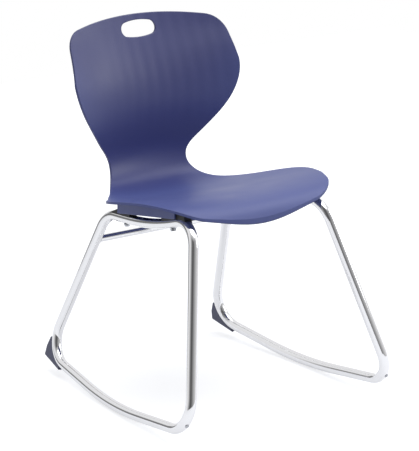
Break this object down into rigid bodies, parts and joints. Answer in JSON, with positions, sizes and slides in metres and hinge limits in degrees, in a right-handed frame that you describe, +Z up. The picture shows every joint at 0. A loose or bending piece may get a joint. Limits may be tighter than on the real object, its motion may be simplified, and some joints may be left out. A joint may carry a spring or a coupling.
{
  "type": "rocking chair",
  "caption": "One-piece moulded plastic seat and back with a carry-handle hole on a bent round-tube frame whose bottom runs are curved rockers with rear stops.",
  "frame": {"origin": "on the floor, under the middle of the box that encloses the whole chair", "axes": "+Z up, the sitter faces -Y, +X is the sitter's left, X = 0 is the plane of symmetry"},
  "size_m": [0.5396, 0.5924, 0.7711],
  "materials": {
    "shell_plastic": "fine satin grain, navy blue polypropylene",
    "chrome_tube": "polished chrome plate on steel tube",
    "black_plastic": "moulded black nylon",
    "bumper_plastic": "dark grey-blue moulded plastic",
    "zinc_steel": "zinc plated steel",
    "brass": "knurled brass, plain here"
  },
  "bodies": {
    "root": {"seat_shell": "shell_plastic", "side_frame_right": "chrome_tube", "side_frame_left": "chrome_tube", "front_cross_tube": "chrome_tube", "rear_cross_tube": "chrome_tube", "saddle_front_right": "black_plastic", "saddle_front_left": "black_plastic", "saddle_rear_right": "black_plastic", "saddle_rear_left": "black_plastic", "rear_bumper_right": "bumper_plastic", "rear_bumper_left": "bumper_plastic", "front_plug_right": "bumper_plastic", "front_plug_left": "bumper_plastic", "seat_screws": "zinc_steel", "seat_washers": "zinc_steel", "threaded_inserts": "brass", "bumper_pin_right": "zinc_steel", "bumper_pin_left": "zinc_steel"}
  },
  "joints": []
}
